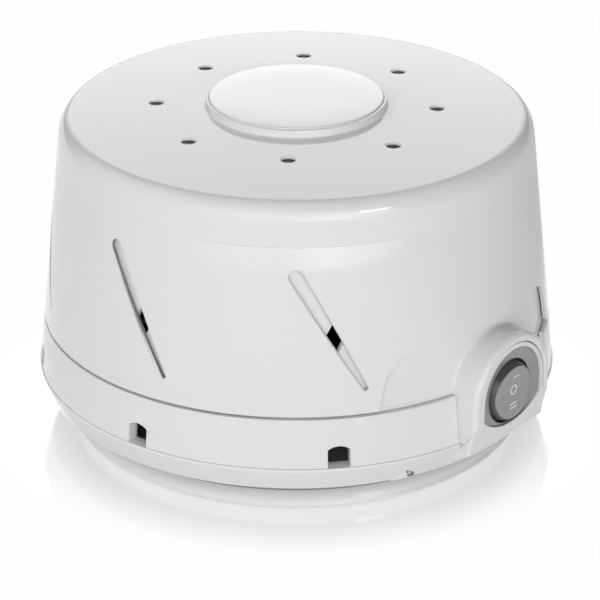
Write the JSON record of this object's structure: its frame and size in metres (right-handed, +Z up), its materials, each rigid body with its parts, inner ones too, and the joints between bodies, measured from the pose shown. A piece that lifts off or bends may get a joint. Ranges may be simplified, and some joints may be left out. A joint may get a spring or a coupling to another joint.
{
  "type": "white noise sound machine",
  "caption": "Bedside sound machine: a fan inside a slotted bell, with a turning cap and collar that open and close its ports, and a rocker switch under an arched hood.",
  "frame": {"origin": "on the axis of the round body, on the plane that the feet stand on", "axes": "+Z up along the body's axis, -Y towards the switch, +X to the right of someone facing it"},
  "size_m": [0.146, 0.149, 0.0944],
  "materials": {
    "white_shell": "white gloss moulding",
    "badge": "white domed disc",
    "switch_grey": "mid grey satin",
    "switch_black": "black",
    "brass": "bare sheet",
    "shoe_plastic": "red sleeve",
    "foot_rubber": "dark grey pad",
    "gland": "pale moulding",
    "screw_steel": "zinc plated",
    "nylon": "natural nylon",
    "core_steel": "laminated sheet",
    "copper": "bare copper",
    "winding": "enamelled copper wire",
    "bracket_steel": "plated sheet",
    "bronze": "sintered, oiled",
    "grommet_rubber": "black soft rubber",
    "shaft_steel": "ground",
    "rotor_alloy": "cast cage and stack",
    "fan_plastic": "dark grey moulding",
    "lead_sleeve": "black insulation"
  },
  "bodies": {
    "body": {"base": "white_shell", "acoustic_housing": "white_shell", "switch_bezel": "switch_grey", "switch_body": "switch_black", "switch_tabs": "brass", "push_on_shoes": "shoe_plastic", "feet": "foot_rubber", "flex_gland": "gland", "case_screws": "screw_steel", "cap_pivot_screw": "screw_steel", "cap_pivot_washer": "nylon", "stator_core": "core_steel", "shading_rings": "copper", "coil_bobbin": "nylon", "coil_winding": "winding", "upper_bracket": "bracket_steel", "lower_bracket": "bracket_steel", "upper_bearing": "bronze", "lower_bearing": "bronze", "motor_bolts": "screw_steel", "motor_grommets": "grommet_rubber", "mount_screws": "screw_steel", "motor_leads": "lead_sleeve"},
    "cap": {"cap": "white_shell", "badge_disc": "badge"},
    "collar": {"collar": "white_shell"},
    "rocker": {"rocker": "switch_grey"},
    "fan": {"motor_shaft": "shaft_steel", "rotor": "rotor_alloy", "thrust_washers": "nylon", "fan_wheel": "fan_plastic", "fan_clip": "screw_steel"}
  },
  "joints": [
    {"name": "cap_turn", "type": "hinge", "parent": "body", "child": "cap", "pos_m": [0, 0, 0.0905], "axis": [0, 0, 1], "range_deg": [-13.5, 16.5]},
    {"name": "collar_turn", "type": "hinge", "parent": "body", "child": "collar", "pos_m": [0, 0, 0.0236], "axis": [0, 0, 1], "range_deg": [-10, 0]},
    {"name": "switch_rock", "type": "hinge", "parent": "body", "child": "rocker", "pos_m": [0, -0.0705, 0.027], "axis": [1, 0, 0], "range_deg": [-9, 9]},
    {"name": "fan_spin", "type": "hinge", "parent": "body", "child": "fan", "pos_m": [0, 0, 0.04], "axis": [0, 0, 1], "continuous": true}
  ]
}
